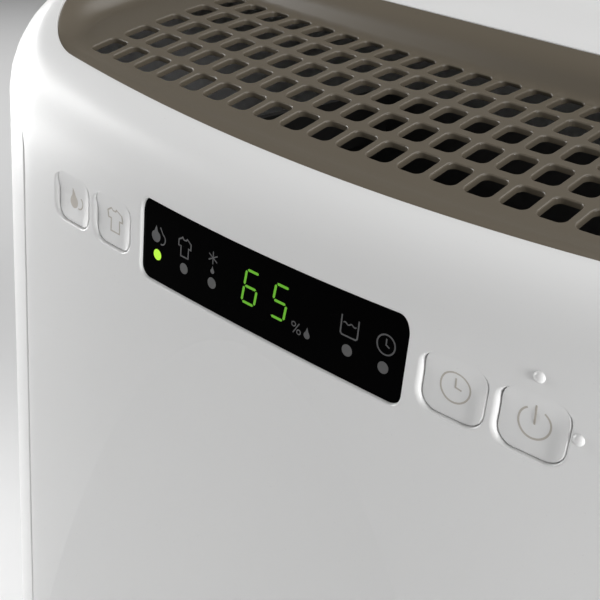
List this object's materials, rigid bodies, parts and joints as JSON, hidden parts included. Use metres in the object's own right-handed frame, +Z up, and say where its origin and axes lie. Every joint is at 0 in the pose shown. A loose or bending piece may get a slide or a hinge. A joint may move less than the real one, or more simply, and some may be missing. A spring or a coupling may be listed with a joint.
{
  "type": "dehumidifier",
  "caption": "Upright room dehumidifier with top air outlet grille, front touch panel with digit display, pull-out water tank, rear filter and castors.",
  "frame": {"origin": "centre of the bounding box at floor level", "axes": "+X right seen from the front, the front faces -Y, +Z up"},
  "size_m": [0.38, 0.24, 0.585],
  "materials": {
    "white": "satin moulded",
    "taupe": "fine-textured dark taupe",
    "grey": "moulded grey",
    "clear": "translucent tank plastic",
    "black": "gloss black",
    "rubber": "matte",
    "enamel": "black enamel",
    "aluminium": "mill",
    "copper": "drawn copper",
    "steel": "zinc plated",
    "board": "circuit board"
  },
  "bodies": {
    "cabinet": {"front_cover": "white", "rear_cover": "white", "top_cover": "white", "base_pan": "taupe", "outlet_grille": "taupe", "grip_left": "taupe", "grip_right": "taupe", "display_lens": "black", "display_board": "board", "digit_display": "grey", "humidity_sensor": "white", "compressor": "enamel", "compressor_foot_1": "rubber", "compressor_foot_2": "rubber", "compressor_foot_3": "rubber", "evaporator": "aluminium", "condenser": "aluminium", "suction_pipe": "copper", "discharge_pipe": "copper", "capillary_tube": "copper", "fan_scroll": "grey", "fan_motor": "steel", "motor_bracket": "steel", "air_duct": "grey", "drip_tray": "grey", "run_capacitor": "aluminium", "power_board": "board", "tank_switch": "black", "drain_spout": "grey", "cord_gland": "rubber", "screw_1": "steel", "screw_2": "steel", "screw_3": "steel", "screw_4": "steel"},
    "tank": {"tank_body": "clear", "tank_lid": "grey", "tank_front": "white"},
    "float": {"tank_float": "white"},
    "fan": {"fan_wheel": "grey"},
    "filter": {"intake_grille": "taupe", "filter_frame": "taupe", "filter_mesh": "grey"},
    "drain_plug": {"drain_cap": "taupe"},
    "key_humidity": {"button_humidity": "white"},
    "key_laundry": {"button_laundry": "white"},
    "key_timer": {"button_timer": "white"},
    "key_power": {"button_power": "white"},
    "castor_front_left": {"castor_fork_front_left": "grey"},
    "wheel_front_left": {"castor_wheel_front_left": "rubber"},
    "castor_front_right": {"castor_fork_front_right": "grey"},
    "wheel_front_right": {"castor_wheel_front_right": "rubber"},
    "castor_rear_left": {"castor_fork_rear_left": "grey"},
    "wheel_rear_left": {"castor_wheel_rear_left": "rubber"},
    "castor_rear_right": {"castor_fork_rear_right": "grey"},
    "wheel_rear_right": {"castor_wheel_rear_right": "rubber"}
  },
  "joints": [
    {"name": "tank_slide", "type": "slide", "parent": "cabinet", "child": "tank", "axis": [0, -1, 0], "range_m": [0, 0.24]},
    {"name": "float_hinge", "type": "hinge", "parent": "tank", "child": "float", "pos_m": [0.09, -0.008, 0.196], "axis": [-1, 0, 0], "range_deg": [0, 20]},
    {"name": "fan_spin", "type": "hinge", "parent": "cabinet", "child": "fan", "pos_m": [0, -0.03, 0.365], "axis": [0, 1, 0], "continuous": true},
    {"name": "filter_slide", "type": "slide", "parent": "cabinet", "child": "filter", "axis": [0, 1, 0], "range_m": [0, 0.06]},
    {"name": "drain_cap_pull", "type": "slide", "parent": "cabinet", "child": "drain_plug", "axis": [0, 1, 0], "range_m": [0, 0.03]},
    {"name": "press_humidity", "type": "hinge", "parent": "cabinet", "child": "key_humidity", "pos_m": [-0.1046, -0.11504, 0.50225], "axis": [1, 0, 0], "range_deg": [0, 3], "stiffness_Nm_per_rad": 1},
    {"name": "press_laundry", "type": "hinge", "parent": "cabinet", "child": "key_laundry", "pos_m": [-0.0784, -0.11664, 0.50225], "axis": [1, 0, 0], "range_deg": [0, 3], "stiffness_Nm_per_rad": 1},
    {"name": "press_timer", "type": "hinge", "parent": "cabinet", "child": "key_timer", "pos_m": [0.0784, -0.11664, 0.50225], "axis": [1, 0, 0], "range_deg": [0, 3], "stiffness_Nm_per_rad": 1},
    {"name": "press_power", "type": "hinge", "parent": "cabinet", "child": "key_power", "pos_m": [0.1046, -0.11504, 0.50225], "axis": [1, 0, 0], "range_deg": [0, 3], "stiffness_Nm_per_rad": 1},
    {"name": "swivel_front_left", "type": "hinge", "parent": "cabinet", "child": "castor_front_left", "pos_m": [-0.15, -0.08, 0.028], "axis": [0, 0, 1], "continuous": true},
    {"name": "roll_front_left", "type": "hinge", "parent": "castor_front_left", "child": "wheel_front_left", "pos_m": [-0.15, -0.073, 0.012], "axis": [1, 0, 0], "continuous": true},
    {"name": "swivel_front_right", "type": "hinge", "parent": "cabinet", "child": "castor_front_right", "pos_m": [0.15, -0.08, 0.028], "axis": [0, 0, 1], "continuous": true},
    {"name": "roll_front_right", "type": "hinge", "parent": "castor_front_right", "child": "wheel_front_right", "pos_m": [0.15, -0.073, 0.012], "axis": [1, 0, 0], "continuous": true},
    {"name": "swivel_rear_left", "type": "hinge", "parent": "cabinet", "child": "castor_rear_left", "pos_m": [-0.15, 0.08, 0.028], "axis": [0, 0, 1], "continuous": true},
    {"name": "roll_rear_left", "type": "hinge", "parent": "castor_rear_left", "child": "wheel_rear_left", "pos_m": [-0.15, 0.087, 0.012], "axis": [1, 0, 0], "continuous": true},
    {"name": "swivel_rear_right", "type": "hinge", "parent": "cabinet", "child": "castor_rear_right", "pos_m": [0.15, 0.08, 0.028], "axis": [0, 0, 1], "continuous": true},
    {"name": "roll_rear_right", "type": "hinge", "parent": "castor_rear_right", "child": "wheel_rear_right", "pos_m": [0.15, 0.087, 0.012], "axis": [1, 0, 0], "continuous": true}
  ]
}
